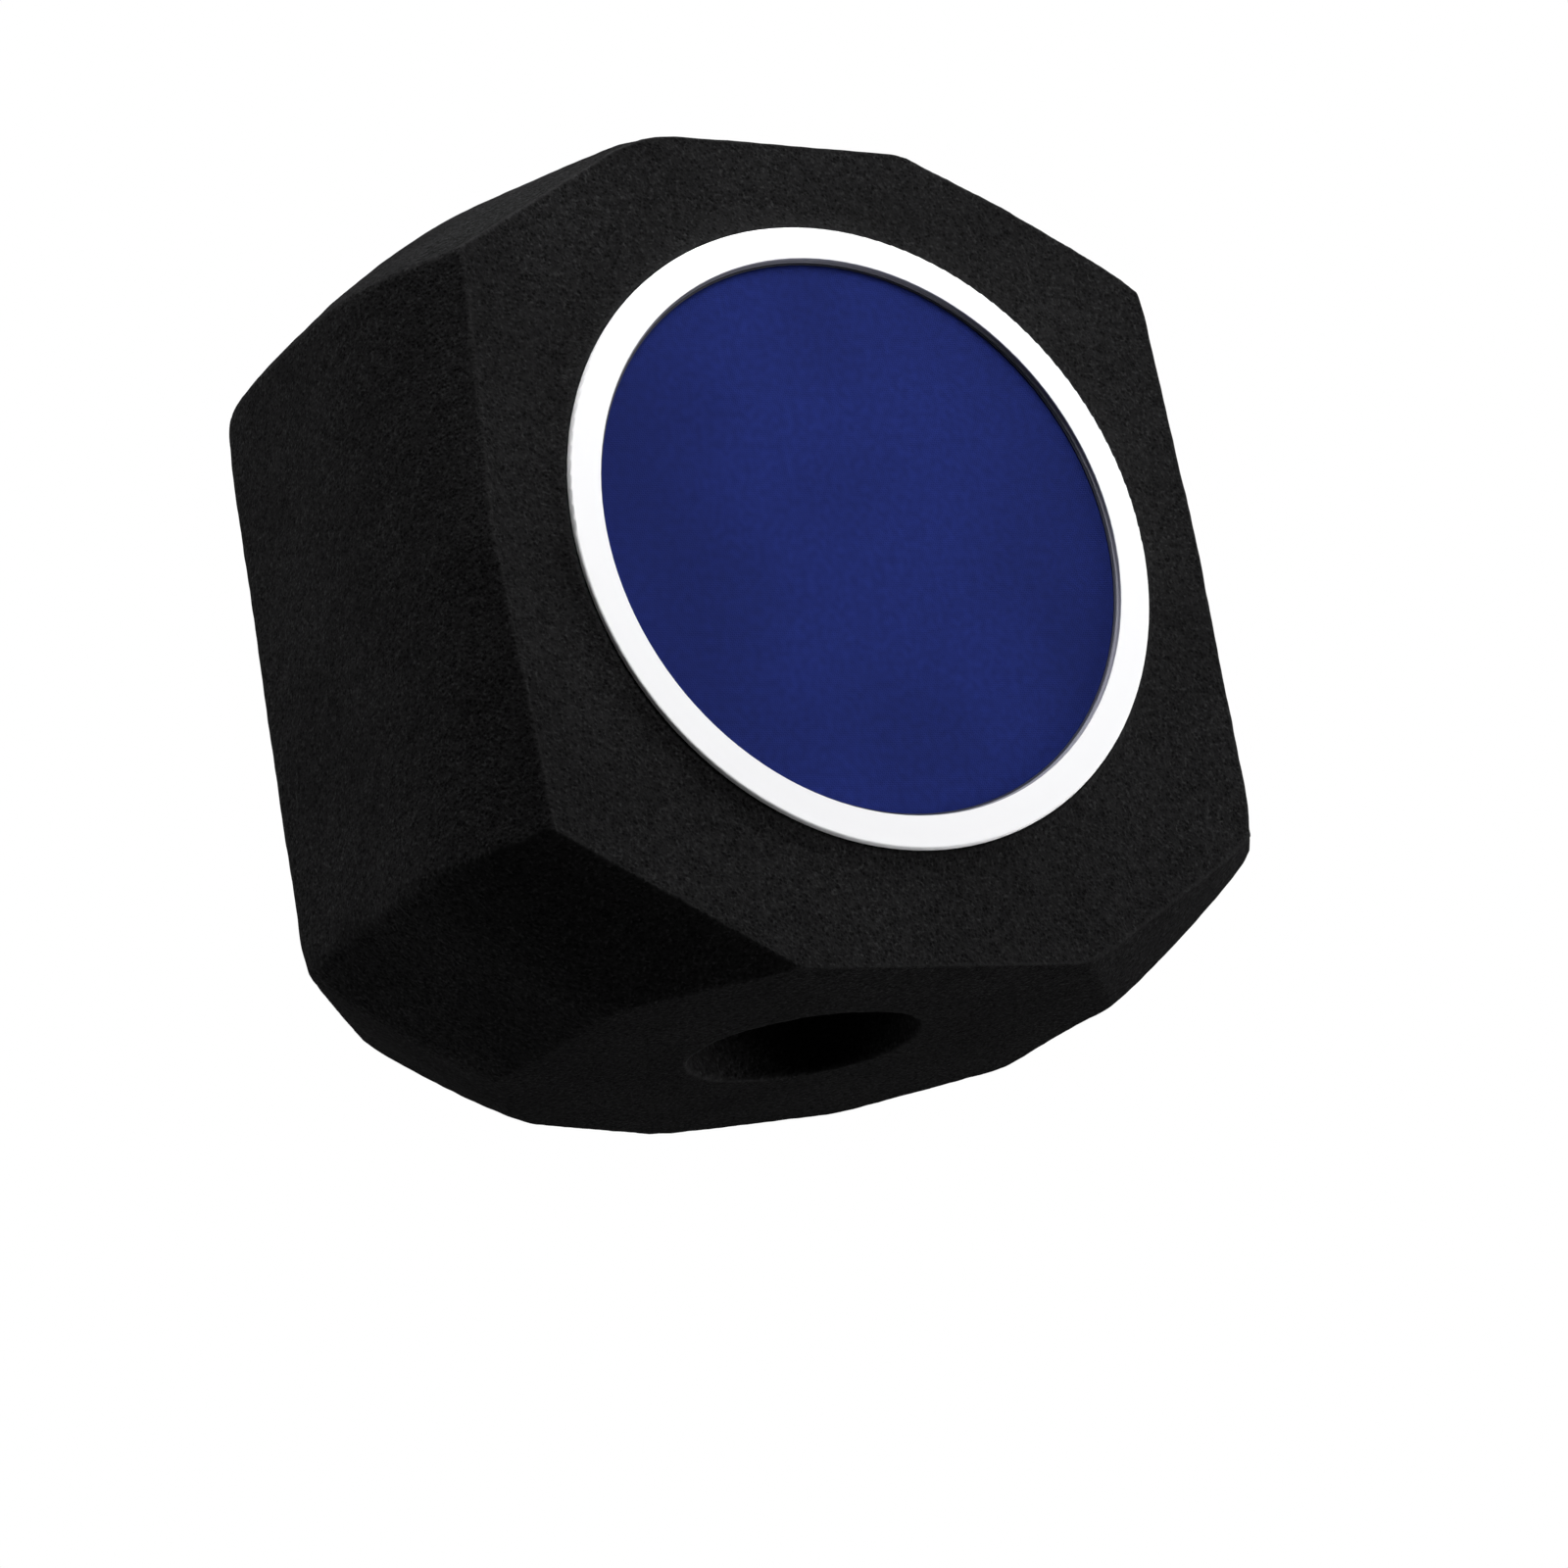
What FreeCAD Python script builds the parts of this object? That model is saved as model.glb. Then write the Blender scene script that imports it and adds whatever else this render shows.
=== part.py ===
import FreeCAD, Part
import os

from FreeCAD import Placement, Rotation, Vector

import Sketcher

# Foam microphone shell with a round plug-in pop screen.
# Origin: centre of the microphone hole, on the shell's flat underside. +Z is up, -Y is the front.
# The screen's own pieces are drawn about the screen's axis, with depth counted backwards from the
# shell's flat front face, so a negative depth stands in front of that face.

SIZES = {
    # the foam block, in plan about the microphone's axis
    "body_height": 199.0,
    "taper_height": 31.0,         # height of the sloping part at the top and at the bottom
    "front_depth": 62.0,          # from the microphone's axis to the flat front face
    "middle_front": 182.0,        # width of the flat front, in the block's middle
    "middle_radius": 112.0,       # circle through the plan's rear corners, there
    "middle_side_radius": 112.0,  # from the axis to the two side corners
    "middle_side_bearing": 18.0,  # how far forward the side corners stand, in degrees
    "base_front": 73.2,           # the same four sizes at the bottom face
    "base_radius": 72.0,
    "base_side_radius": 72.5,
    "base_side_bearing": 24.0,
    "top_front": 73.2,            # and at the top face, where the sides are flatter
    "top_radius": 72.0,
    "top_side_radius": 65.5,
    "top_side_bearing": 12.0,
    # what is cut out of the block
    "mic_hole_radius": 27.0,
    "screen_rise": 2.2,           # how far the screen's axis lies above the block's middle
    "chamber_radius": 60.0,
    "chamber_back": 60.0,         # rear wall of the chamber, behind the microphone's axis
    "chamber_corner": 32.0,       # rounding between the chamber's side and its rear wall
    # the liner glued into the block's front opening
    "socket_radius": 72.0,
    "socket_depth": 26.0,
    "socket_wall": 2.2,
    "socket_inset": 0.3,          # how far the liner's front edge lies below the foam's face
    "stop_radius": 66.0,          # bore of the liner's stop rim
    "stop_thickness": 2.0,
    # the screen's frame, and the trim ring that caps its flange
    "ring_radius": 75.5,
    "opening_radius": 67.7,
    "flange_thickness": 2.2,      # with the trim ring on it
    "flange_gap": 0.3,            # between the flange and the foam
    "trim_thickness": 0.3,
    "trim_skirt": 0.8,            # how far the trim's outer edge reaches back round the flange
    "trim_wall": 1.1,             # thickness of that edge
    "trim_round": 0.6,
    "plug_gap": 0.3,              # radial, between the frame's sleeve and the liner
    "plug_length": 22.0,
    "rim_depth": 1.2,             # from the trim's front face to the frame's inner rim
    "rim_thickness": 0.4,
    "rim_height": 0.5,            # how far the inner rim stands in from the opening
    "grip_clearance": 0.05,       # radial, between the grip ribs and the liner
    "grip_width": 1.2,
    "grip_start": 4.0,
    "grip_end": 19.0,
    # the pieces stacked inside the frame
    "stack_gap": 0.1,             # radial, between the stacked pieces and the frame's bore
    "hoop_thickness": 0.3,
    "hoop_width": 0.9,
    "mesh_thickness": 0.3,
    "spacer_length": 14.0,
    "spacer_wall": 1.8,
    "retainer_length": 4.0,
    "retainer_wall": 4.2,
    # the catches that hold the retaining ring
    "catch_width": 9.0,
    "catch_length": 1.6,
    "catch_start": 1.3,           # behind the retaining ring's front face
    "catch_height": 1.4,
    "window_gap": 0.2,            # round each catch in its window
}

REAR_CORNERS = 5
REAR_STEP = 36
CATCH_COUNT = 4
GRIP_COUNT = 12
GRIP_FIRST_ANGLE = 15.0

# depths and radii that several pieces share, as expressions of the sheet's cells
SCREEN_HEIGHT = "Sizes.body_height / 2 + Sizes.screen_rise"
FACE_DEPTH = "-(Sizes.flange_gap + Sizes.flange_thickness)"
FLANGE_FRONT = FACE_DEPTH + " + Sizes.trim_thickness"
FLANGE_RADIUS = "Sizes.ring_radius - Sizes.trim_wall"
RIM_FRONT = FACE_DEPTH + " + Sizes.rim_depth"
HOOP_FRONT = RIM_FRONT + " + Sizes.rim_thickness"
MESH_FRONT = HOOP_FRONT + " + Sizes.hoop_thickness"
SPACER_FRONT = MESH_FRONT + " + Sizes.mesh_thickness"
REAR_MESH_FRONT = SPACER_FRONT + " + Sizes.spacer_length"
RETAINER_FRONT = REAR_MESH_FRONT + " + Sizes.mesh_thickness"
RETAINER_BACK = RETAINER_FRONT + " + Sizes.retainer_length"
CATCH_FRONT = RETAINER_FRONT + " + Sizes.catch_start"
CATCH_BACK = CATCH_FRONT + " + Sizes.catch_length"
LINER_BORE = "Sizes.socket_radius - Sizes.socket_wall"
SLEEVE_RADIUS = LINER_BORE + " - Sizes.plug_gap"
STACK_RADIUS = "Sizes.opening_radius - Sizes.stack_gap"

doc = FreeCAD.newDocument("pop_screen")
sheet = doc.addObject("Spreadsheet::Sheet", "Sizes")


def fill_sheet():
    """Write the driving dimensions into the sheet, one row each."""
    for row, (alias, value) in enumerate(SIZES.items(), start=1):
        sheet.set(f"A{row}", alias)
        sheet.set(f"B{row}", str(value))
        sheet.setAlias(f"B{row}", alias)
    doc.recompute()


def value_of(expression):
    """The present value of an expression of the sheet's cells."""
    return float(sheet.evalExpression(expression))


# ---------------------------------------------------------------- sketches and features


def new_body(name):
    body = doc.addObject("PartDesign::Body", name)
    body.Label = name
    return body


def screen_body(name):
    """A body drawn about the screen's axis, with its origin in the plane of the foam's front."""
    body = new_body(name)
    body.setExpression("Placement.Base.y", "-Sizes.front_depth")
    body.setExpression("Placement.Base.z", SCREEN_HEIGHT)
    return body


def new_sketch(body, name, role):
    """A sketch on one of the body's own origin planes."""
    sketch = body.newObject("Sketcher::SketchObject", name)
    plane = next(f for f in body.Origin.OriginFeatures if f.Role == role)
    sketch.AttachmentSupport = [(plane, "")]
    sketch.MapMode = "FlatFace"
    return sketch


def origin_axis(body, role):
    return next(f for f in body.Origin.OriginFeatures if f.Role == role)


def bind(sketch, constraint, expression):
    """Add a dimension to a sketch and tie it to the sheet."""
    index = sketch.addConstraint(constraint)
    sketch.setExpression(f"Constraints[{index}]", expression)


def place_point(sketch, edge, end, across, up):
    """Fix a line's end at the sketch coordinates that two expressions give; None means zero."""
    if across is None:
        sketch.addConstraint(Sketcher.Constraint("PointOnObject", edge, end, -2))
    else:
        distance = Sketcher.Constraint("DistanceX", -1, 1, edge, end, value_of(across))
        bind(sketch, distance, across)
    if up is None:
        sketch.addConstraint(Sketcher.Constraint("PointOnObject", edge, end, -1))
    else:
        distance = Sketcher.Constraint("DistanceY", -1, 1, edge, end, value_of(up))
        bind(sketch, distance, up)


def bulging_arc(start, end, radius):
    """The arc from start to end that bulges to the right of the straight way between them."""
    chord = end - start
    half = chord.Length / 2
    left = Vector(-chord.y, chord.x, 0) / chord.Length
    centre = start + chord / 2 + left * (radius**2 - half**2) ** 0.5
    circle = Part.Circle(centre, Vector(0, 0, 1), radius)
    return Part.ArcOfCircle(circle, circle.parameter(start), circle.parameter(end))


def draw_outline(sketch, corners, bulges=None):
    """A closed outline, anticlockwise, through corners given as pairs of expressions.

    Its sides are straight, except for the sides that bulges names by number, with their radius.
    """
    bulges = bulges or {}
    spots = [Vector(value_of(across or "0"), value_of(up or "0"), 0) for across, up in corners]
    count = len(spots)
    for i in range(count):
        start = spots[i]
        end = spots[(i + 1) % count]
        if i in bulges:
            sketch.addGeometry(bulging_arc(start, end, value_of(bulges[i])))
        else:
            sketch.addGeometry(Part.LineSegment(start, end))
    for i in range(count):
        sketch.addConstraint(Sketcher.Constraint("Coincident", i, 2, (i + 1) % count, 1))
    for i, (across, up) in enumerate(corners):
        place_point(sketch, i, 1, across, up)
    for side, radius in bulges.items():
        bind(sketch, Sketcher.Constraint("Radius", side, value_of(radius)), radius)


def draw_rectangle(sketch, left, right, low, high):
    draw_outline(sketch, [(left, low), (right, low), (right, high), (left, high)])


def revolve(body, sketch, kind="PartDesign::Revolution", name="turned"):
    """Turn a sketch fully about its own horizontal axis."""
    feature = body.newObject(kind, name)
    feature.Profile = sketch
    feature.ReferenceAxis = (sketch, ["H_Axis"])
    feature.Angle = 360.0
    return feature


def turned_body(name, corners):
    """A screen piece turned from one outline of (depth, radius) corners."""
    body = screen_body(name)
    sketch = new_sketch(body, name + "_outline", "YZ_Plane")
    draw_outline(sketch, corners)
    revolve(body, sketch, name=name + "_turned")
    doc.recompute()
    return body


def turned_ring(name, front, back, inner, outer):
    return turned_body(name, [(front, inner), (back, inner), (back, outer), (front, outer)])


def repeat_round(body, feature, count, name):
    """Repeat a feature evenly round the screen's axis."""
    pattern = body.newObject("PartDesign::PolarPattern", name)
    pattern.Originals = [feature]
    pattern.Axis = (origin_axis(body, "Y_Axis"), [""])
    pattern.Angle = 360.0
    pattern.Occurrences = count
    body.Tip = pattern
    doc.recompute()


def circles_at(shape, depth, radius):
    """Names of a turned piece's circular edges at one depth and radius."""
    found = []
    for number, edge in enumerate(shape.Edges, start=1):
        curve = edge.Curve
        if not isinstance(curve, Part.Circle):
            continue
        same_radius = abs(curve.Radius - radius) < 0.01
        same_depth = abs(curve.Center.y - depth) < 0.01
        if same_radius and same_depth:
            found.append(f"Edge{number}")
    return found


def round_edges(body, edges, size, name):
    """Round the named edges of the body's last feature."""
    base = body.Tip
    fillet = body.newObject("PartDesign::Fillet", name)
    fillet.Base = (base, edges)
    fillet.setExpression("Radius", size)
    body.Tip = fillet
    doc.recompute()


# ---------------------------------------------------------------- the foam block


def draw_plan(sketch, level):
    """The block's plan at one level: a flat front, two side corners and a regular rear.

    Its sizes are those of the sheet whose names begin with the level's name.
    """
    half_front = f"Sizes.{level}_front / 2"
    side = (f"Sizes.{level}_side_radius", f"-Sizes.{level}_side_bearing")
    places = [side]
    for i in range(REAR_CORNERS):
        bearing = 90 + (i - REAR_CORNERS // 2) * REAR_STEP
        places.append((f"Sizes.{level}_radius", str(bearing)))
    places.append((side[0], f"180 + Sizes.{level}_side_bearing"))
    corners = [(f"-{half_front}", "-Sizes.front_depth"), (half_front, "-Sizes.front_depth")]
    for radius, bearing in places:
        across = f"{radius} * cos(({bearing}) * 1 deg)"
        back = f"{radius} * sin(({bearing}) * 1 deg)"
        corners.append((None if bearing == "90" else across, back))
    draw_outline(sketch, corners)


def plan_at(body, name, height, level):
    sketch = new_sketch(body, name, "XY_Plane")
    draw_plan(sketch, level)
    if height is not None:
        sketch.setExpression("AttachmentOffset.Base.z", height)
    return sketch


def add_block(body):
    """The solid block: a straight middle with a straight taper above it and below it."""
    shoulder = "Sizes.body_height - Sizes.taper_height"
    base = plan_at(body, "base_plan", None, "base")
    sections = [
        plan_at(body, "lower_plan", "Sizes.taper_height", "middle"),
        plan_at(body, "upper_plan", shoulder, "middle"),
        plan_at(body, "top_plan", "Sizes.body_height", "top"),
    ]
    loft = body.newObject("PartDesign::AdditiveLoft", "block")
    loft.Profile = base
    loft.Sections = sections
    loft.Ruled = True
    body.Tip = loft
    doc.recompute()


def cut_mic_hole(body):
    sketch = new_sketch(body, "mic_hole_outline", "XY_Plane")
    radius = value_of("Sizes.mic_hole_radius")
    sketch.addGeometry(Part.Circle(Vector(0, 0, 0), Vector(0, 0, 1), radius))
    sketch.addConstraint(Sketcher.Constraint("Coincident", 0, 3, -1, 1))
    bind(sketch, Sketcher.Constraint("Radius", 0, radius), "Sizes.mic_hole_radius")
    pocket = body.newObject("PartDesign::Pocket", "mic_hole")
    pocket.Profile = sketch
    pocket.Reversed = True
    pocket.setExpression("Length", SCREEN_HEIGHT)
    body.Tip = pocket
    doc.recompute()


def cut_chamber(body):
    """The round front opening, the seat of the liner, and the microphone's chamber behind them."""
    sketch = new_sketch(body, "chamber_outline", "YZ_Plane")
    sketch.setExpression("AttachmentOffset.Base.y", SCREEN_HEIGHT)
    front = "-Sizes.front_depth"
    back = "Sizes.chamber_back"
    seat = "Sizes.socket_depth - Sizes.front_depth"
    corners = [
        (front, None),
        (back, None),
        (back, "Sizes.chamber_radius - Sizes.chamber_corner"),
        (back + " - Sizes.chamber_corner", "Sizes.chamber_radius"),
        (seat, "Sizes.chamber_radius"),
        (seat, "Sizes.socket_radius"),
        (front, "Sizes.socket_radius"),
    ]
    rounded_side = 2
    draw_outline(sketch, corners, {rounded_side: "Sizes.chamber_corner"})
    revolve(body, sketch, "PartDesign::Groove", "chamber")
    doc.recompute()


def make_foam_body():
    body = new_body("foam_body")
    add_block(body)
    whole = body.Shape.Volume
    cut_chamber(body)
    hollowed = body.Shape.Volume
    cut_mic_hole(body)
    drilled = body.Shape.Volume
    if not whole > hollowed > drilled:
        raise RuntimeError("a cut in foam_body removed nothing")
    return body


# ---------------------------------------------------------------- the liner and the screen


def make_socket_sleeve():
    """The liner: a thin tube glued into the foam, with a stop rim at its rear end."""
    stop_front = "Sizes.socket_depth - Sizes.stop_thickness"
    return turned_body(
        "socket_sleeve",
        [
            ("Sizes.socket_inset", LINER_BORE),
            (stop_front, LINER_BORE),
            (stop_front, "Sizes.stop_radius"),
            ("Sizes.socket_depth", "Sizes.stop_radius"),
            ("Sizes.socket_depth", "Sizes.socket_radius"),
            ("Sizes.socket_inset", "Sizes.socket_radius"),
        ],
    )


def cut_windows(body):
    """The windows in the frame's sleeve that the retaining ring's catches click into."""
    sketch = new_sketch(body, "window_outline", "XY_Plane")
    half = "Sizes.catch_width / 2 + Sizes.window_gap"
    front = CATCH_FRONT + " - Sizes.window_gap"
    back = CATCH_BACK + " + Sizes.window_gap"
    draw_rectangle(sketch, f"-({half})", half, front, back)
    pocket = body.newObject("PartDesign::Pocket", "window")
    pocket.Profile = sketch
    pocket.Reversed = True
    pocket.setExpression("Length", "Sizes.ring_radius")
    body.Tip = pocket
    doc.recompute()
    repeat_round(body, pocket, CATCH_COUNT, "windows")


def add_grip_ribs(body):
    """Low ribs along the frame's sleeve, which make the push fit in the liner."""
    sketch = new_sketch(body, "grip_outline", "XY_Plane")
    turn = Rotation(Vector(0, 1, 0), GRIP_FIRST_ANGLE)
    root_height = value_of(SLEEVE_RADIUS) - value_of("Sizes.plug_gap")
    rise = turn.multVec(Vector(0, 0, root_height))
    sketch.AttachmentOffset = Placement(rise, turn)
    half = "Sizes.grip_width / 2"
    draw_rectangle(sketch, f"-({half})", half, "Sizes.grip_start", "Sizes.grip_end")
    rib = body.newObject("PartDesign::Pad", "grip_rib")
    rib.Profile = sketch
    rib.setExpression("Length", "2 * Sizes.plug_gap - Sizes.grip_clearance")
    body.Tip = rib
    doc.recompute()
    repeat_round(body, rib, GRIP_COUNT, "grip_ribs")


def make_screen_frame():
    """The moulded frame: a flange in front of the foam, a plug-in sleeve and an inner rim."""
    rim_radius = "Sizes.opening_radius - Sizes.rim_height"
    body = turned_body(
        "screen_frame",
        [
            (FLANGE_FRONT, "Sizes.opening_radius"),
            (RIM_FRONT, "Sizes.opening_radius"),
            (RIM_FRONT, rim_radius),
            (HOOP_FRONT, rim_radius),
            (HOOP_FRONT, "Sizes.opening_radius"),
            ("Sizes.plug_length", "Sizes.opening_radius"),
            ("Sizes.plug_length", SLEEVE_RADIUS),
            ("-Sizes.flange_gap", SLEEVE_RADIUS),
            ("-Sizes.flange_gap", FLANGE_RADIUS),
            (FLANGE_FRONT, FLANGE_RADIUS),
        ],
    )
    plain = body.Shape.Volume
    cut_windows(body)
    cut = body.Shape.Volume
    add_grip_ribs(body)
    if not cut < plain or not body.Shape.Volume > cut:
        raise RuntimeError("the windows or the ribs of screen_frame are missing")
    return body


def make_face_ring():
    """The trim ring: a thin cap over the flange, with a rounded outer edge."""
    skirt_back = FLANGE_FRONT + " + Sizes.trim_skirt"
    body = turned_body(
        "face_ring",
        [
            (FACE_DEPTH, "Sizes.opening_radius"),
            (FLANGE_FRONT, "Sizes.opening_radius"),
            (FLANGE_FRONT, FLANGE_RADIUS),
            (skirt_back, FLANGE_RADIUS),
            (skirt_back, "Sizes.ring_radius"),
            (FACE_DEPTH, "Sizes.ring_radius"),
        ],
    )
    outer = circles_at(body.Tip.Shape, value_of(FACE_DEPTH), value_of("Sizes.ring_radius"))
    round_edges(body, outer, "Sizes.trim_round", "outer_edge")
    return body


def make_front_hoop():
    """The thin hoop behind the frame's rim, which clamps the front mesh's edge."""
    inner = STACK_RADIUS + " - Sizes.hoop_width"
    return turned_ring("front_hoop", HOOP_FRONT, MESH_FRONT, inner, STACK_RADIUS)


def make_mesh(name, front):
    """A stretched mesh disc."""
    back = front + " + Sizes.mesh_thickness"
    return turned_ring(name, front, back, None, STACK_RADIUS)


def make_spacer_ring():
    """Keeps the two mesh layers apart."""
    inner = STACK_RADIUS + " - Sizes.spacer_wall"
    return turned_ring("spacer_ring", SPACER_FRONT, REAR_MESH_FRONT, inner, STACK_RADIUS)


def make_retaining_ring():
    """Closes the stack from behind, with catches that click into the frame's windows."""
    inner = STACK_RADIUS + " - Sizes.retainer_wall"
    body = turned_ring("retaining_ring", RETAINER_FRONT, RETAINER_BACK, inner, STACK_RADIUS)
    plain = body.Shape.Volume
    sketch = new_sketch(body, "catch_outline", "XY_Plane")
    half = "Sizes.catch_width / 2"
    root = STACK_RADIUS + " - Sizes.catch_height"
    draw_rectangle(sketch, f"-({half})", half, CATCH_FRONT, CATCH_BACK)
    sketch.setExpression("AttachmentOffset.Base.z", root)
    catch = body.newObject("PartDesign::Pad", "catch")
    catch.Profile = sketch
    catch.setExpression("Length", "2 * Sizes.catch_height")
    body.Tip = catch
    doc.recompute()
    repeat_round(body, catch, CATCH_COUNT, "catches")
    if not body.Shape.Volume > plain:
        raise RuntimeError("the catches of retaining_ring are missing")
    return body


# ---------------------------------------------------------------- build, check and write


def check_document():
    """Stop if any object of the document failed."""
    for thing in doc.Objects:
        states = set(thing.State)
        if states & {"Invalid", "Error"}:
            raise RuntimeError(f"{thing.Label} is in state {sorted(states)}")


def write_parts(bodies):
    os.makedirs("parts", exist_ok=True)
    for body in bodies:
        shape = body.Shape
        if shape.isNull() or not shape.isValid():
            raise RuntimeError(f"{body.Label} has no valid shape")
        if len(shape.Solids) != 1:
            raise RuntimeError(f"{body.Label} has {len(shape.Solids)} solids")
        shape.exportStep(f"parts/{body.Label}.step")
        box = shape.optimalBoundingBox()
        size = f"{box.XLength:.1f} x {box.YLength:.1f} x {box.ZLength:.1f} mm"
        print(f"{body.Label}: {size}, {shape.Volume / 1000:.1f} cm3")


def main():
    fill_sheet()
    bodies = [
        make_foam_body(),
        make_socket_sleeve(),
        make_screen_frame(),
        make_face_ring(),
        make_front_hoop(),
        make_mesh("front_mesh", MESH_FRONT),
        make_spacer_ring(),
        make_mesh("rear_mesh", REAR_MESH_FRONT),
        make_retaining_ring(),
    ]
    doc.recompute()
    check_document()
    write_parts(bodies)


main()
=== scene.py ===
import math

import bmesh
import bpy
import numpy as np
from mathutils import Matrix, Vector, noise


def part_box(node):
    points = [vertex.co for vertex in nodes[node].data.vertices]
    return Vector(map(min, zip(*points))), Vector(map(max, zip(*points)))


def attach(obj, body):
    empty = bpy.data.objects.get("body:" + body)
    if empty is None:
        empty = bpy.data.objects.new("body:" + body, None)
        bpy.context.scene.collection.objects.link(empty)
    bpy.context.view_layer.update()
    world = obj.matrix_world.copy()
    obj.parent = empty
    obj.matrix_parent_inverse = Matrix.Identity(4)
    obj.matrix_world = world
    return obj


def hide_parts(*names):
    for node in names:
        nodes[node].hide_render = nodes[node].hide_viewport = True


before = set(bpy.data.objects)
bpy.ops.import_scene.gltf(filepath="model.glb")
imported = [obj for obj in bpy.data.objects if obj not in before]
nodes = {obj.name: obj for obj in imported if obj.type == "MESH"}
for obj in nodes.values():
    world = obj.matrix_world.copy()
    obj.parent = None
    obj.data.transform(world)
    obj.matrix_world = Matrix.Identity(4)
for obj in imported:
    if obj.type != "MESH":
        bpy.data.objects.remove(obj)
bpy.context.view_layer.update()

MM = 0.001

# ------------------------------------------------------------- places read from the frame

foam_low, foam_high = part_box("foam_body")
trim_low, trim_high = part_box("face_ring")
front_mesh_low, front_mesh_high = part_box("front_mesh")

FRONT_Y = foam_low.y                                # the foam's flat front face
MIDDLE_Z = (foam_low.z + foam_high.z) / 2
RING_Z = (trim_low.z + trim_high.z) / 2             # height of the screen's axis
RING_RADIUS = (trim_high.x - trim_low.x) / 2
MESH_RADIUS = (front_mesh_high.x - front_mesh_low.x) / 2
RING_CENTRE = Vector((0, FRONT_Y, RING_Z))

# the flat front face is an octagon; half its widest width, and half its straight sides' height
FACE_HALF_WIDTH = 91.0 * MM
SIDE_HALF_HEIGHT = 68.5 * MM
TOP_HALF_WIDTH = 36.6 * MM                          # half the width of its top and bottom sides
HALF_HEIGHT = (foam_high.z - foam_low.z) / 2


# ------------------------------------------------------------- small helpers


def link(obj):
    """Put a new object into the scene."""
    bpy.context.scene.collection.objects.link(obj)
    return obj


def apply_modifiers(obj):
    """Replace the object's mesh by its evaluated one."""
    graph = bpy.context.evaluated_depsgraph_get()
    finished = bpy.data.meshes.new_from_object(obj.evaluated_get(graph))
    obj.modifiers.clear()
    old = obj.data
    obj.data = finished
    bpy.data.meshes.remove(old)


def points_of(mesh):
    """The mesh's points, one row each."""
    co = np.empty(len(mesh.vertices) * 3)
    mesh.vertices.foreach_get("co", co)
    return co.reshape(-1, 3)


def set_points(mesh, points):
    mesh.vertices.foreach_set("co", points.ravel())
    mesh.update()


def ramp(value, start, end):
    """0 before start, 1 after end, smooth between them."""
    t = np.clip((value - start) / (end - start), 0, 1)
    return t * t * (3 - 2 * t)


def noise_field(points, scale, seed):
    """Smooth noise of about -1 to 1 at each point, with features about scale metres across."""
    shift = Vector((seed * 13.7, seed * 5.3, seed * 9.1))
    return np.array([noise.noise(Vector(p) / scale + shift) for p in points])


# ------------------------------------------------------------- node material helpers


class Shader:
    """A material's node tree, with short calls for the nodes used here."""

    def __init__(self, name):
        self.material = bpy.data.materials.new(name)
        self.material.use_nodes = True
        self.tree = self.material.node_tree
        self.tree.nodes.clear()
        self.output = self.add("ShaderNodeOutputMaterial")
        self.surface = self.add("ShaderNodeBsdfPrincipled")
        self.join(self.surface.outputs["BSDF"], self.output.inputs["Surface"])
        self.place = self.add("ShaderNodeTexCoord").outputs["Object"]

    def add(self, kind):
        return self.tree.nodes.new(kind)

    def join(self, source, target):
        self.tree.links.new(source, target)

    def set(self, **values):
        """Set constant inputs of the surface, with an underscore for each space in their names."""
        for name, value in values.items():
            self.surface.inputs[name.replace("_", " ")].default_value = value

    def noise(self, size, detail=2):
        """Noise whose features are about size metres across."""
        node = self.add("ShaderNodeTexNoise")
        node.inputs["Scale"].default_value = 1 / size
        node.inputs["Detail"].default_value = detail
        self.join(self.place, node.inputs["Vector"])
        return node.outputs["Fac"]

    def cells(self, size):
        """The distance from the middle of each cell, for cells about size metres across."""
        node = self.add("ShaderNodeTexVoronoi")
        node.inputs["Scale"].default_value = 1 / size
        self.join(self.place, node.inputs["Vector"])
        return node.outputs["Distance"]

    def remap(self, value, low, high, to_low, to_high):
        """Turn the range low to high of a value into to_low to to_high, and hold it at the ends."""
        node = self.add("ShaderNodeMapRange")
        node.inputs["From Min"].default_value = low
        node.inputs["From Max"].default_value = high
        node.inputs["To Min"].default_value = to_low
        node.inputs["To Max"].default_value = to_high
        self.join(value, node.inputs["Value"])
        return node.outputs["Result"]

    def math(self, operation, first, second=None):
        """A sum of one or two terms; each is a number or another node's output."""
        node = self.add("ShaderNodeMath")
        node.operation = operation
        for socket, value in zip(node.inputs, (first, second)):
            if value is None:
                continue
            if isinstance(value, (int, float)):
                socket.default_value = value
            else:
                self.join(value, socket)
        return node.outputs["Value"]

    def blend(self, factor, first, second):
        """Mix two colours by a factor; each colour is a tuple or another node's output."""
        node = self.add("ShaderNodeMix")
        node.data_type = "RGBA"
        self.join(factor, node.inputs["Factor"])
        for socket, value in ((node.inputs["A"], first), (node.inputs["B"], second)):
            if isinstance(value, tuple):
                socket.default_value = (*value, 1)
            else:
                self.join(value, socket)
        return node.outputs["Result"]

    def colour(self, value):
        self.join(value, self.surface.inputs["Base Color"])

    def roughness(self, value):
        self.join(value, self.surface.inputs["Roughness"])

    def bump(self, height, distance, strength, under=None):
        """Relief of the given depth; under is another bump that it lies on."""
        node = self.add("ShaderNodeBump")
        node.inputs["Distance"].default_value = distance
        node.inputs["Strength"].default_value = strength
        self.join(height, node.inputs["Height"])
        if under is not None:
            self.join(under, node.inputs["Normal"])
        self.join(node.outputs["Normal"], self.surface.inputs["Normal"])
        return node.outputs["Normal"]


# ------------------------------------------------------------- materials

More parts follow.
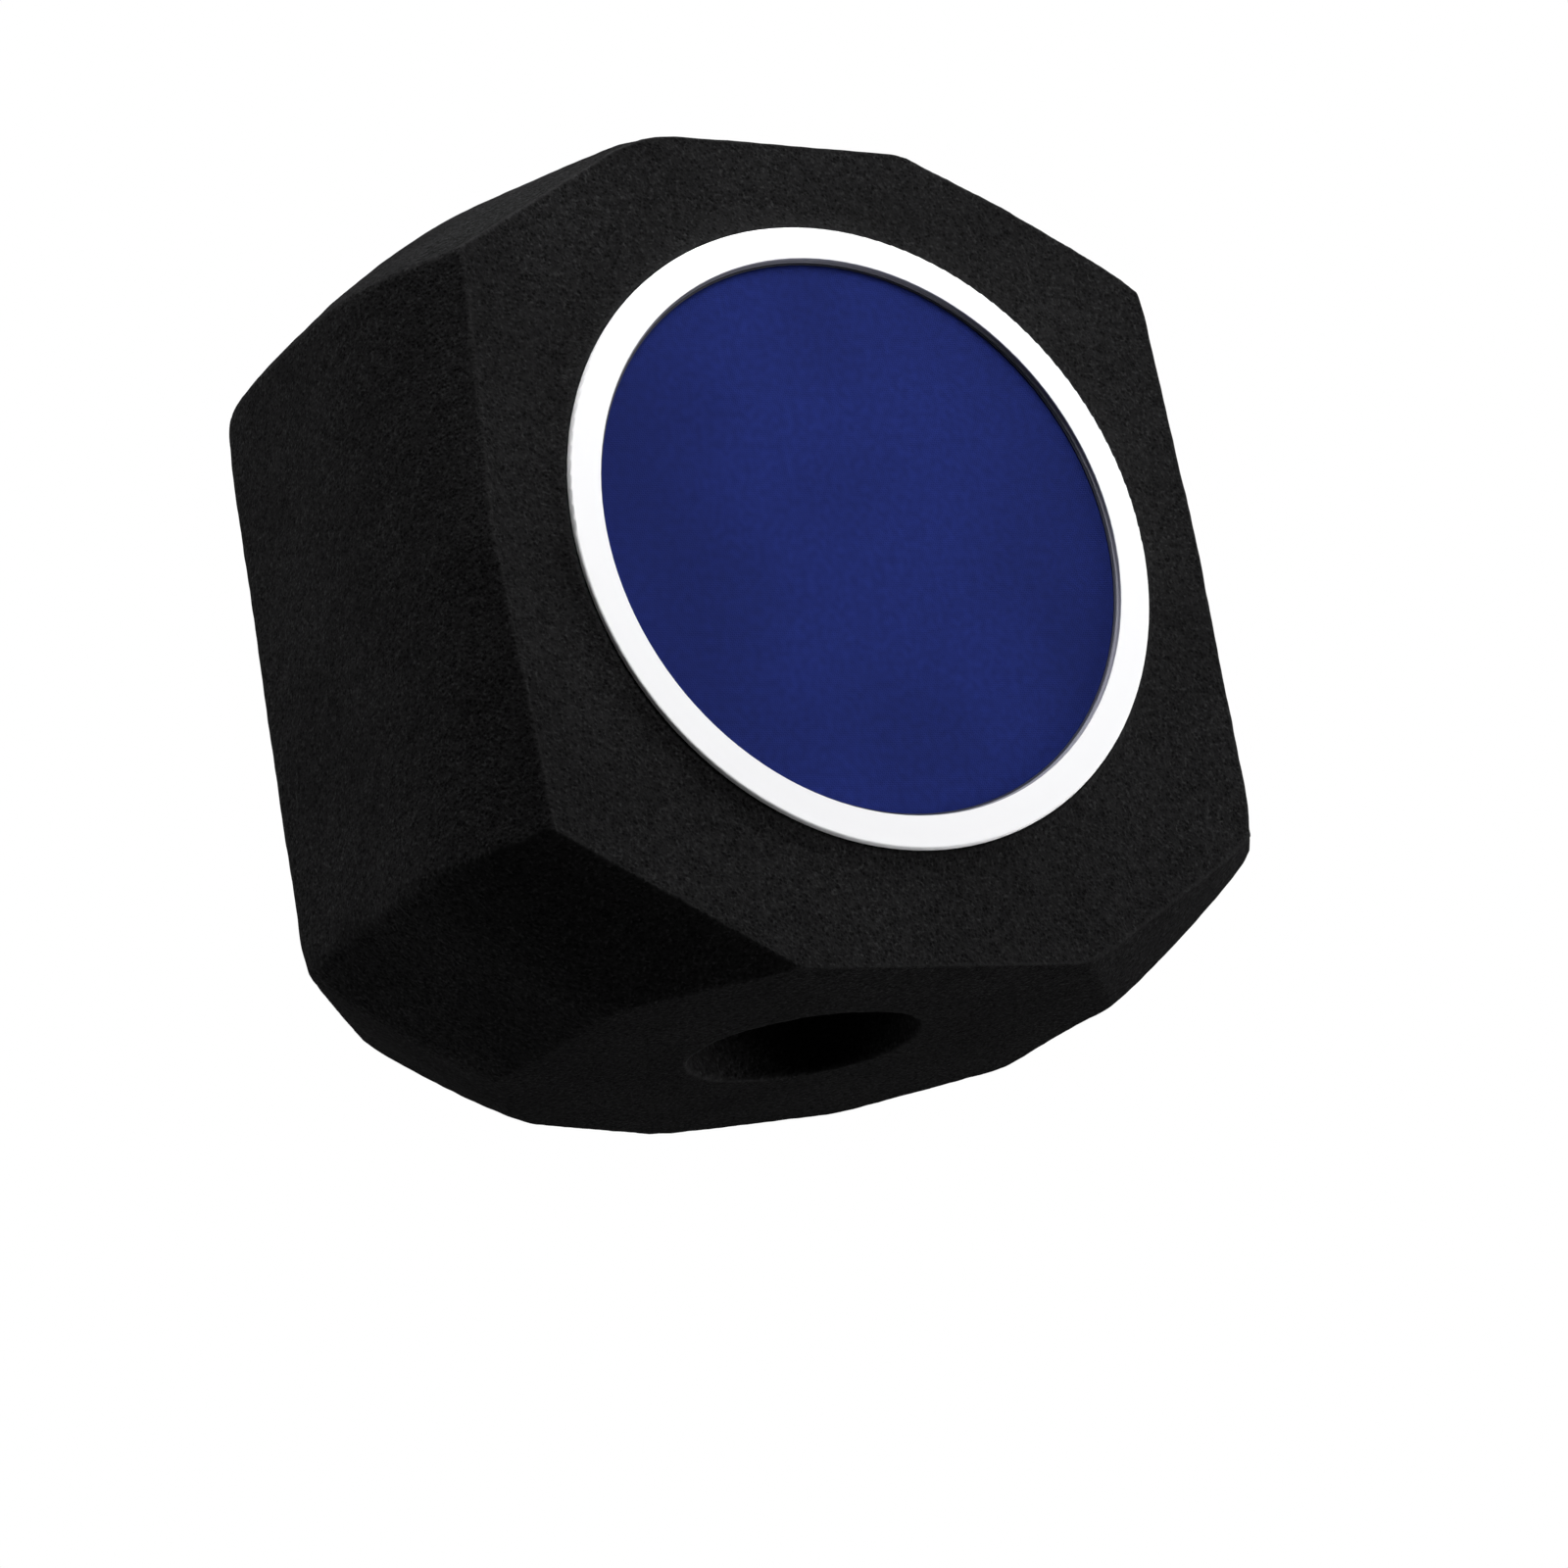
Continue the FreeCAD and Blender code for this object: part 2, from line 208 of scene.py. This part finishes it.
FOAM_PORE = (0.0033, 0.0033, 0.0034)
FOAM_SKIN = (0.0098, 0.0098, 0.01)
FOAM_MOTTLE = (0.0185, 0.0185, 0.0189)
FOAM_FLECK = (0.0285, 0.0285, 0.029)
# paler tone for a painted highlight along the foam's sharp edges
FOAM_EDGE_HIGHLIGHT = (0.030, 0.030, 0.0305)

WHITE = (0.86, 0.86, 0.87)
WHITE_SHADED = (0.84, 0.84, 0.855)
FRAME_GREY = (0.26, 0.26, 0.31)
HOOP_BLACK = (0.012, 0.014, 0.032)
LINER_BLACK = (0.02, 0.02, 0.021)

BLUE_THREAD = (0.0093, 0.0172, 0.117)
BLUE_GAP = (0.0056, 0.0098, 0.066)
DARK_THREAD = (0.02, 0.02, 0.022)
DARK_GAP = (0.006, 0.006, 0.007)
WEAVE_PITCH = 0.5 * MM

FLOOR_SHADE = 0.82
FLOOR_GLOW = 0.8            # the floor glows, so that it is evenly pale all the way out


def foam_material():
    """Black open-cell foam: a fine dark sponge with light flecks, a mottle and a painted highlight
    along its sharp edges.
    """
    shader = Shader("foam")
    pores = shader.cells(0.9 * MM)
    flecks = shader.noise(0.9 * MM)
    mottle = shader.noise(1.7 * MM)
    cloud = shader.noise(28 * MM, detail=1)
    edges = shader.add("ShaderNodeNewGeometry").outputs["Pointiness"]
    tone = shader.blend(shader.remap(pores, 0.1, 0.6, 0.0, 1.0), FOAM_PORE, FOAM_SKIN)
    fleck = shader.remap(flecks, 0.53, 0.72, 0.0, 0.75)
    tone = shader.blend(shader.remap(mottle, 0.38, 0.68, 0.0, 0.5), tone, FOAM_MOTTLE)
    tone = shader.blend(fleck, tone, FOAM_FLECK)
    tone = shader.blend(shader.remap(cloud, 0.35, 0.65, 0.0, 0.22), tone, FOAM_PORE)
    # painted highlight: the sharp convex edges, found by their pointiness, are made paler
    tone = shader.blend(shader.remap(edges, 0.51, 0.55, 0.0, 0.4), tone, FOAM_EDGE_HIGHLIGHT)
    shader.colour(tone)
    coarse = shader.bump(mottle, 0.45 * MM, 0.6)
    depth = shader.math("ADD", shader.remap(pores, 0.0, 0.6, 0.0, 1.0), flecks)
    shader.bump(depth, 0.3 * MM, 0.5, under=coarse)
    shader.set(Roughness=1.0, Specular_IOR_Level=0.0)
    return shader.material


def white_plastic():
    """Satin white moulding with the faintest orange-peel."""
    shader = Shader("white_plastic")
    peel = shader.noise(1.6 * MM)
    cloud = shader.noise(18 * MM)
    shader.colour(shader.blend(cloud, WHITE, WHITE_SHADED))
    shader.roughness(shader.remap(cloud, 0.3, 0.7, 0.40, 0.48))
    shader.bump(peel, 0.02 * MM, 0.35)
    shader.set(Specular_IOR_Level=0.3)
    return shader.material


def dark_plastic(name, shade, roughness):
    """Moulded plastic with a fine spark texture and slightly polished high spots."""
    shader = Shader(name)
    spark = shader.noise(0.35 * MM)
    cloud = shader.noise(14 * MM)
    darker = tuple(0.8 * c for c in shade)
    shader.colour(shader.blend(cloud, darker, shade))
    shader.roughness(shader.remap(cloud, 0.3, 0.7, roughness - 0.05, roughness + 0.07))
    shader.bump(spark, 0.03 * MM, 0.5)
    shader.set(Specular_IOR_Level=0.5)
    return shader.material


def woven_mesh(name, thread, shadow):
    """Fine plain weave: raised threads over and under, darker in the gaps, with painted shade out at
    the left and right sides.
    """
    shader = Shader(name)
    wave = math.tau / WEAVE_PITCH
    split = shader.add("ShaderNodeSeparateXYZ")
    shader.join(shader.place, split.inputs["Vector"])
    across = shader.math("SINE", shader.math("MULTIPLY", split.outputs["X"], wave))
    up = shader.math("SINE", shader.math("MULTIPLY", split.outputs["Z"], wave))
    half_across = shader.math("SINE", shader.math("MULTIPLY", split.outputs["X"], wave / 2))
    half_up = shader.math("SINE", shader.math("MULTIPLY", split.outputs["Z"], wave / 2))
    over_under = shader.math("MULTIPLY", half_across, half_up)
    threads = shader.math("MAXIMUM", across, up)
    height = shader.math("ADD", threads, shader.math("MULTIPLY", over_under, 0.6))
    mottle = shader.noise(1.9 * MM)
    cloud = shader.noise(35 * MM, detail=1)
    from_middle = shader.math("ABSOLUTE", split.outputs["X"])
    gap = shader.remap(threads, -0.4, 0.5, 0.0, 1.0)
    tone = shader.blend(gap, shadow, thread)
    brighter = tuple(1.25 * c for c in thread)
    tone = shader.blend(shader.remap(mottle, 0.35, 0.70, 0.0, 0.75), tone, brighter)
    tone = shader.blend(shader.remap(cloud, 0.4, 0.65, 0.0, 0.3), tone, shadow)
    # painted shade: the cloth is darkened towards its left and right sides
    side = shader.remap(from_middle, 0.35 * MESH_RADIUS, MESH_RADIUS, 0.0, 0.5)
    tone = shader.blend(side, tone, shadow)
    shader.colour(tone)
    shader.bump(height, 0.05 * MM, 0.5)
    shader.set(Roughness=0.8, Specular_IOR_Level=0.05)
    return shader.material


def floor_material():
    """Plain matt floor, very slightly clouded."""
    shader = Shader("floor")
    cloud = shader.noise(0.4)
    shader.colour(shader.blend(cloud, (FLOOR_SHADE,) * 3, (FLOOR_SHADE * 0.985,) * 3))
    shader.set(Roughness=0.9, Emission_Color=(1, 1, 1, 1), Emission_Strength=FLOOR_GLOW)
    return shader.material


def backdrop_material():
    """Evenly lit white, as on a studio's paper."""
    material = bpy.data.materials.new("backdrop")
    material.use_nodes = True
    tree = material.node_tree
    tree.nodes.clear()
    glow = tree.nodes.new("ShaderNodeEmission")
    glow.inputs["Color"].default_value = (1, 1, 1, 1)
    glow.inputs["Strength"].default_value = 1.0
    output = tree.nodes.new("ShaderNodeOutputMaterial")
    tree.links.new(glow.outputs["Emission"], output.inputs["Surface"])
    return material


def give(obj, material):
    """Make this the object's only material."""
    obj.data.materials.clear()
    obj.data.materials.append(material)


# ------------------------------------------------------------- the foam shell

FOAM_VOXEL = 1.0 * MM
FOAM_SMOOTHING = 4

# the upright edges' places about the microphone's axis, in mm and degrees, at the base, at both ends
# of the straight middle and at the top, and how many mm beside them the foam is rounded
SIDE_RADII = (72.5, 112, 112, 65.5)
SIDE_BEARINGS = (-24, -18, -18, -12)
REAR_RADII = (72, 112, 112, 72)
REAR_BEARINGS = (18, 54, 90, 126)
SIDE_SOFTNESS = (5, 10, 10, 5)
REAR_SOFTNESS = (3, 1.2, 1.2, 3)
LOWER, UPPER = 1, 2             # the numbers of the levels at both ends of the straight middle
LEVELS = [foam_low.z, MIDDLE_Z - SIDE_HALF_HEIGHT, MIDDLE_Z + SIDE_HALF_HEIGHT, foam_high.z]
SLOPE_SWELL = 1.5 * MM          # how far the slopes above and below bulge, behind the front
SWELL_FULLNESS = 0.7            # below 1 the bulge is fuller near the slope's ends
SWELL_OUTWARD = 0.6             # the bulge's direction, away from the axis and up or down
SWELL_UPWARD = 0.8
SKIN = 34 * MM                  # deeper than this the foam isn't moved
EDGE_BEVEL = 1.6 * MM           # depth of the rounding taken out of the front edges

# how far each corner of the front octagon stands off a regular cut, to the right and up, and how
# much of it is rounded off, in mm
CORNER_SHIFTS = {
    "upper_right": (0.0, 0.0, 1.0),
    "top_right": (-6.5, 0.2, 0.4),
    "top_left": (-3.0, 0.4, 1.4),
    "upper_left": (0.5, 0.2, 0.2),
    "lower_left": (0.0, 0.0, 0.2),
    "bottom_left": (1.0, -0.3, 0.3),
    "bottom_right": (3.5, -0.3, 0.8),
    "lower_right": (1.2, -1.6, 1.6),
}
ROUNDING_REACH = 8          # times the amount rounded off
REAR_CORNER_ROUNDING = 1.0 * MM
LEFT_REAR_WEAR = 1.8 * MM   # how worn the left rear edge is just above the straight middle
WEAR_REACH = 22 * MM
WEAR_PLACE = 0.12           # how far up the slope its middle is
SHIFT_DEPTH = 60 * MM       # how far back from the front the shifts die out

LEFT_BOW = 3.6 * MM         # how far the front's left edge bows out beside the ring
RIGHT_BOW = 0.9 * MM
SLOPE_BOW = 1.1 * MM        # and the slope at the upper right
SLOPE_BOW_DEPTH = 24 * MM   # how deep below that slope the foam still moves
BOW_DEPTH = 34 * MM         # how far back from the front the bow dies out
BOW_PEAK = 1.15             # above 1 the bow is narrower about mid height
LIP_WIDTH = 3.2 * MM
LIP_HEIGHT = 1.3 * MM       # just short of the back of the white ring


def plan_corner(height, places):
    """Where one upright edge of the block lies in plan, at each height, from its place per level."""
    across = np.interp(height, LEVELS, [place[0] for place in places])
    back = np.interp(height, LEVELS, [place[1] for place in places])
    return np.stack([across, back], axis=1)


def at_bearing(radii, bearings):
    """A place per level from its distance and its bearing from the microphone's axis."""
    turns = [math.radians(bearing) for bearing in bearings]
    return [(r * MM * math.cos(turn), r * MM * math.sin(turn)) for r, turn in zip(radii, turns)]


def soften_upright_edges(points):
    """Round the upright edges between the walls, by pushing the foam in beside each of them."""
    ends = (TOP_HALF_WIDTH, FRONT_Y)
    middle = (FACE_HALF_WIDTH, FRONT_Y)
    edges = [(None, [ends, middle, middle, ends])]
    edges.append((SIDE_SOFTNESS, at_bearing(SIDE_RADII, SIDE_BEARINGS)))
    for bearing in REAR_BEARINGS:
        edges.append((REAR_SOFTNESS, at_bearing(REAR_RADII, [bearing] * len(LEVELS))))
    for (_, before), (softness, edge), (_, after) in zip(edges, edges[1:], edges[2:]):
        for side in (1, -1):
            plan = points[:, :2] * (side, 1)
            corners = [plan_corner(points[:, 2], places) for places in (before, edge, after)]
            depths = []
            inward = np.zeros_like(plan)
            for start, end in zip(corners, corners[1:]):
                along = end - start
                along /= np.linalg.norm(along, axis=1)[:, None]
                outward = np.stack([along[:, 1], -along[:, 0]], axis=1)
                depths.append(((corners[1] - plan) * outward).sum(axis=1))
                inward -= outward
            inward /= np.linalg.norm(inward, axis=1)[:, None]
            reach = np.interp(points[:, 2], LEVELS, softness) * MM
            share = np.clip(1 - np.abs(depths[0] - depths[1]) / reach, 0, 1)
            outer = 1 - ramp(np.minimum(*depths), SKIN / 2, SKIN)
            push = inward * (share**2 * reach / 4 * outer)[:, None]
            points[:, 0] += side * push[:, 0]
            points[:, 1] += push[:, 1]


def swell_slopes(points):
    """The sloping parts at the top and bottom are slightly full, except at the front."""
    height = points[:, 2] - MIDDLE_Z
    travel = np.clip((np.abs(height) - SIDE_HALF_HEIGHT) / (HALF_HEIGHT - SIDE_HALF_HEIGHT), 0, 1)
    radius = np.hypot(points[:, 0], points[:, 1])
    outer = ramp(radius, 35 * MM, 60 * MM) * ramp(points[:, 1] - FRONT_Y, 0, 20 * MM)
    push = SLOPE_SWELL * (4 * travel * (1 - travel)) ** SWELL_FULLNESS * outer
    points[:, 0] += push * SWELL_OUTWARD * points[:, 0] / radius
    points[:, 1] += push * SWELL_OUTWARD * points[:, 1] / radius
    points[:, 2] += push * SWELL_UPWARD * np.sign(height)


def flatten_front(points):
    """Bring the front back to one plane right up to its edges, so that they stay crisp."""
    depth = np.maximum(points[:, 1] - FRONT_Y, 0)
    points[:, 1] = FRONT_Y + depth * ramp(depth, 0, EDGE_BEVEL)


def press_in(points, place, amount, reach):
    """Push the foam in at a place, and less and less out to the reach; a minus swells it."""
    away = np.linalg.norm(points - np.array(place), axis=1)
    share = np.clip(1 - away / reach, 0, 1)
    inward = np.array((Vector((0, place.y, MIDDLE_Z)) - place).normalized())
    points += inward * (share**2 * amount)[:, None]


def rear_corner(bearing, level, side):
    """A corner of the plan behind the front: its bearing, its level, and 1 or -1 for the side."""
    across, back = at_bearing(REAR_RADII, [bearing] * len(LEVELS))[level]
    return Vector((side * across, back, LEVELS[level]))


def round_rear_corners(points):
    """Round the rear side corners, and wear the upper left one a little more, as on the block."""
    bearing = REAR_BEARINGS[0]
    for side in (-1, 1):
        for level in (LOWER, UPPER):
            corner = rear_corner(bearing, level, side)
            press_in(points, corner, REAR_CORNER_ROUNDING, ROUNDING_REACH * REAR_CORNER_ROUNDING)
    top_corner = rear_corner(bearing, UPPER + 1, -1)
    worn = rear_corner(bearing, UPPER, -1).lerp(top_corner, WEAR_PLACE)
    press_in(points, worn, LEFT_REAR_WEAR, WEAR_REACH)


def skew_corners(points):
    """Move the front octagon's corners a little, with the edges between them kept straight."""
    corners = {
        "upper_right": (FACE_HALF_WIDTH, SIDE_HALF_HEIGHT),
        "top_right": (TOP_HALF_WIDTH, HALF_HEIGHT),
        "top_left": (-TOP_HALF_WIDTH, HALF_HEIGHT),
        "upper_left": (-FACE_HALF_WIDTH, SIDE_HALF_HEIGHT),
        "lower_left": (-FACE_HALF_WIDTH, -SIDE_HALF_HEIGHT),
        "bottom_left": (-TOP_HALF_WIDTH, -HALF_HEIGHT),
        "bottom_right": (TOP_HALF_WIDTH, -HALF_HEIGHT),
        "lower_right": (FACE_HALF_WIDTH, -SIDE_HALF_HEIGHT),
    }
    bearings = [math.atan2(z, x) % math.tau for x, z in corners.values()]
    shift_x = [CORNER_SHIFTS[name][0] * MM for name in corners]
    shift_z = [CORNER_SHIFTS[name][1] * MM for name in corners]
    bearing = np.arctan2(points[:, 2] - MIDDLE_Z, points[:, 0]) % math.tau
    radius = np.hypot(points[:, 0], points[:, 2] - RING_CENTRE.z)
    reach = ramp(radius, RING_RADIUS, FACE_HALF_WIDTH)
    fade = 1 - ramp(points[:, 1] - FRONT_Y, 0, SHIFT_DEPTH)
    points[:, 0] += np.interp(bearing, bearings, shift_x, period=math.tau) * reach * fade
    points[:, 2] += np.interp(bearing, bearings, shift_z, period=math.tau) * reach * fade
    for name, (x, z) in corners.items():
        amount = CORNER_SHIFTS[name][2] * MM
        corner = Vector((x + CORNER_SHIFTS[name][0] * MM, FRONT_Y, MIDDLE_Z + z))
        press_in(points, corner, amount, ROUNDING_REACH * amount)


def bow_edges(points):
    """The foam beside the plugged-in ring is pushed outwards, most at mid height."""
    from_front = points[:, 1] - FRONT_Y
    fade = 1 - ramp(from_front, 0, BOW_DEPTH)
    height = np.abs(points[:, 2] - MIDDLE_Z)
    swell = np.clip(1 - height / SIDE_HALF_HEIGHT, 0, 1) ** BOW_PEAK
    outward = ramp(np.abs(points[:, 0]), RING_RADIUS, FACE_HALF_WIDTH)
    amount = np.where(points[:, 0] < 0, -LEFT_BOW, RIGHT_BOW)
    points[:, 0] += amount * fade * swell * outward


def bow_upper_slope(points):
    """The slope at the upper right swells a little, square to itself."""
    low = Vector((FACE_HALF_WIDTH, 0, SIDE_HALF_HEIGHT))
    high = Vector((TOP_HALF_WIDTH, 0, HALF_HEIGHT))
    along = (high - low).normalized()
    square = Vector((along.z, 0, -along.x))
    if square.x < 0:
        square = -square
    x = points[:, 0] - low.x
    z = points[:, 2] - MIDDLE_Z - low.z
    travel = (x * along.x + z * along.z) / (high - low).length
    reach = x * square.x + z * square.z
    fade = 1 - ramp(points[:, 1] - FRONT_Y, 0, BOW_DEPTH)
    swell = np.sin(np.pi * np.clip(travel, 0, 1))
    near = ramp(reach, -SLOPE_BOW_DEPTH, 0)
    push = SLOPE_BOW * fade * swell * near
    points[:, 0] += square.x * push
    points[:, 2] += square.z * push


def raise_lip(points):
    """Foam rolled up into a low lip against the flange behind the ring."""
    radius = np.hypot(points[:, 0] - RING_CENTRE.x, points[:, 2] - RING_CENTRE.z)
    on_face = 1 - ramp(points[:, 1] - FRONT_Y, 0.5 * MM, 3 * MM)
    outside = np.maximum(radius - RING_RADIUS, 0)
    bump = ramp(radius, RING_RADIUS - 1.0 * MM, RING_RADIUS - 0.2 * MM)
    bump *= np.exp(-((outside / LIP_WIDTH) ** 2))
    points[:, 1] -= LIP_HEIGHT * on_face * bump


def ruffle(mesh):
    """Slight unevenness of cut foam, along the surface's own normals."""
    points = points_of(mesh)
    normals = np.empty(len(mesh.vertices) * 3)
    mesh.vertices.foreach_get("normal", normals)
    normals = normals.reshape(-1, 3)
    radius = np.hypot(points[:, 0] - RING_CENTRE.x, points[:, 2] - RING_CENTRE.z)
    depth = points[:, 1] - FRONT_Y
    seat = (1 - ramp(radius, RING_RADIUS, RING_RADIUS + 3 * MM)) * (1 - ramp(depth, 24 * MM, 32 * MM))
    free = 1 - seat
    under = ramp(points[:, 2], 0.5 * MM, 4 * MM)
    broad = noise_field(points, 45 * MM, 1) * 0.35 * MM
    middle = noise_field(points, 11 * MM, 2) * 0.16 * MM
    fine = noise_field(points, 3.6 * MM, 3) * 0.12 * MM
    offset = ((broad + middle) * (0.3 + 0.7 * under) + fine) * free
    set_points(mesh, points + normals * offset[:, None])


def make_foam_shell():
    """The foam block as cut and handled: the CAD solid remeshed, then softened and bent a little."""
    source = nodes["foam_body"]
    shell = link(bpy.data.objects.new("foam_shell", source.data.copy()))
    remesh = shell.modifiers.new("remesh", "REMESH")
    remesh.mode = "VOXEL"
    remesh.voxel_size = FOAM_VOXEL
    smooth = shell.modifiers.new("smooth", "SMOOTH")
    smooth.factor = 0.5
    smooth.iterations = FOAM_SMOOTHING
    apply_modifiers(shell)
    points = points_of(shell.data)
    soften_upright_edges(points)
    swell_slopes(points)
    round_rear_corners(points)
    skew_corners(points)
    bow_edges(points)
    bow_upper_slope(points)
    flatten_front(points)
    raise_lip(points)
    set_points(shell.data, points)
    ruffle(shell.data)
    for polygon in shell.data.polygons:
        polygon.use_smooth = True
    give(shell, foam_material())
    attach(shell, "shell")
    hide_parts("foam_body")
    return shell


# ------------------------------------------------------------- the stretched meshes

MESH_RINGS = 56
MESH_SPOKES = 180
MESH_GAUGE = 0.24 * MM
MESH_SLACK = 0.05 * MM
SLACK_WAVE = 16 * MM            # how wide the slack's waves are


def make_mesh_disc(name, node, material, seed):
    """A stretched cloth disc: flat at its clamped edge, very slightly slack inside it."""
    low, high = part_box(node)
    middle = (low + high) / 2
    radius = (high.x - low.x) / 2
    made = bmesh.new()
    centre = made.verts.new(middle)
    loops = []
    for ring in range(1, MESH_RINGS + 1):
        reach = radius * ring / MESH_RINGS
        loop = []
        for spoke in range(MESH_SPOKES):
            angle = math.tau * spoke / MESH_SPOKES
            x = middle.x + reach * math.cos(angle)
            z = middle.z + reach * math.sin(angle)
            loop.append(made.verts.new((x, middle.y, z)))
        loops.append(loop)
    for spoke in range(MESH_SPOKES):
        after = (spoke + 1) % MESH_SPOKES
        made.faces.new((centre, loops[0][spoke], loops[0][after]))
        for inner, outer in zip(loops, loops[1:]):
            made.faces.new((inner[spoke], outer[spoke], outer[after], inner[after]))
    for vertex in made.verts:
        reach = math.hypot(vertex.co.x - middle.x, vertex.co.z - middle.z) / radius
        slack = (1 - reach**6) * MESH_SLACK
        place = Vector((vertex.co.x, vertex.co.z, seed)) / SLACK_WAVE
        vertex.co.y += slack * noise.noise(place)
    bmesh.ops.recalc_face_normals(made, faces=made.faces)
    mesh = bpy.data.meshes.new(name)
    made.to_mesh(mesh)
    made.free()
    disc = link(bpy.data.objects.new(name, mesh))
    thicken = disc.modifiers.new("gauge", "SOLIDIFY")
    thicken.thickness = MESH_GAUGE
    thicken.offset = 0
    apply_modifiers(disc)
    for polygon in disc.data.polygons:
        polygon.use_smooth = True
    give(disc, material)
    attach(disc, "screen")
    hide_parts(node)
    return disc


# ------------------------------------------------------------- stage, lights and camera

CAMERA_PLACE = RING_CENTRE + Vector((-627.4, -936.3, -394.7)) * MM
CAMERA_YAW = 32.442         # degrees from straight in along +Y, towards +X
CAMERA_PITCH = 16.809       # degrees upwards
CAMERA_ROLL = -10.069       # degrees; minus leans it over to the right
CAMERA_LENS = 121.12

FLOOR_Z = -1.2              # well below, because the photograph looks up from under the object
DOME_RADIUS = 6.0
WORLD_STRENGTH = 0.011

# name, direction from the object, distance, width, power in watts and spread in degrees
LAMPS = [
    ("key", (0.16, -0.70, 0.68), 1.5, 0.9, 2.95, 60),
    ("near_key", (0.0, -0.60, 0.80), 0.7, 0.4, 0.74, 80),
    ("top", (-0.3, 0.0, 1.0), 1.0, 0.6, 2.2, 70),
    ("left_rear", (-0.6, 0.7, 0.3), 1.0, 0.6, 1.1, 70),
    ("back_wall", (-0.5, 0.85, -0.15), 1.5, 1.4, 5.2, 100),
    ("bounce", (0.0, 0.0, -1.0), 1.0, 1.2, 0.8, 120),
    ("low_right", (0.75, -0.3, -0.6), 0.8, 0.4, 0.55, 70),
    ("right", (0.95, -0.25, -0.2), 1.0, 0.6, 1.0, 70),
]


def make_camera():
    """The photograph's own viewpoint: from the left and below, and tilted."""
    data = bpy.data.cameras.new("camera")
    data.lens = CAMERA_LENS
    data.sensor_width = 36
    data.clip_start = 0.01
    data.clip_end = 50
    camera = link(bpy.data.objects.new("camera", data))
    yaw = Matrix.Rotation(math.radians(-CAMERA_YAW), 4, "Z")
    pitch = Matrix.Rotation(math.radians(90 + CAMERA_PITCH), 4, "X")
    roll = Matrix.Rotation(math.radians(CAMERA_ROLL), 4, "Z")
    camera.matrix_world = Matrix.Translation(CAMERA_PLACE) @ yaw @ pitch @ roll
    bpy.context.scene.camera = camera


def make_lamp(name, towards, distance, size, power, spread):
    """A square soft box, with a grid, in the direction towards as seen from the object's middle."""
    data = bpy.data.lights.new(name, "AREA")
    data.shape = "SQUARE"
    data.size = size
    data.energy = power
    data.spread = math.radians(spread)
    lamp = link(bpy.data.objects.new(name, data))
    target = Vector((0, 0.02, MIDDLE_Z))
    lamp.location = target + Vector(towards).normalized() * distance
    lamp.rotation_mode = "QUATERNION"
    lamp.rotation_quaternion = (target - lamp.location).to_track_quat("-Z", "Y")
    return lamp


def make_stage():
    """A round floor inside a white dome; neither lights the object nor shows in its gloss."""
    bpy.ops.mesh.primitive_circle_add(vertices=96, radius=DOME_RADIUS, fill_type="NGON")
    floor = bpy.context.object
    floor.name = "floor"
    floor.location = (0, 0, FLOOR_Z)
    floor.visible_diffuse = False
    floor.visible_glossy = False
    give(floor, floor_material())
    bpy.ops.mesh.primitive_uv_sphere_add(segments=48, ring_count=24, radius=DOME_RADIUS)
    dome = bpy.context.object
    dome.name = "backdrop"
    give(dome, backdrop_material())
    dome.visible_diffuse = False
    dome.visible_glossy = False
    dome.visible_transmission = False
    dome.visible_shadow = False


def make_light():
    """A faint even light from all round, and the lamps."""
    world = bpy.data.worlds.new("studio")
    bpy.context.scene.world = world
    world.use_nodes = True
    background = world.node_tree.nodes["Background"]
    background.inputs["Color"].default_value = (1, 1, 1, 1)
    background.inputs["Strength"].default_value = WORLD_STRENGTH
    for lamp in LAMPS:
        make_lamp(*lamp)


bpy.context.scene.view_settings.view_transform = "Standard"

make_camera()
make_stage()
make_light()

make_foam_shell()
blue = woven_mesh("blue_mesh", BLUE_THREAD, BLUE_GAP)
dark = woven_mesh("dark_mesh", DARK_THREAD, DARK_GAP)
make_mesh_disc("front_mesh_cloth", "front_mesh", blue, 1)
make_mesh_disc("rear_mesh_cloth", "rear_mesh", dark, 2)

give(nodes["face_ring"], white_plastic())
give(nodes["screen_frame"], dark_plastic("frame_plastic", FRAME_GREY, 0.42))
give(nodes["front_hoop"], dark_plastic("hoop", HOOP_BLACK, 0.45))
liner = dark_plastic("liner", LINER_BLACK, 0.5)
for name in ("socket_sleeve", "spacer_ring", "retaining_ring"):
    give(nodes[name], liner)
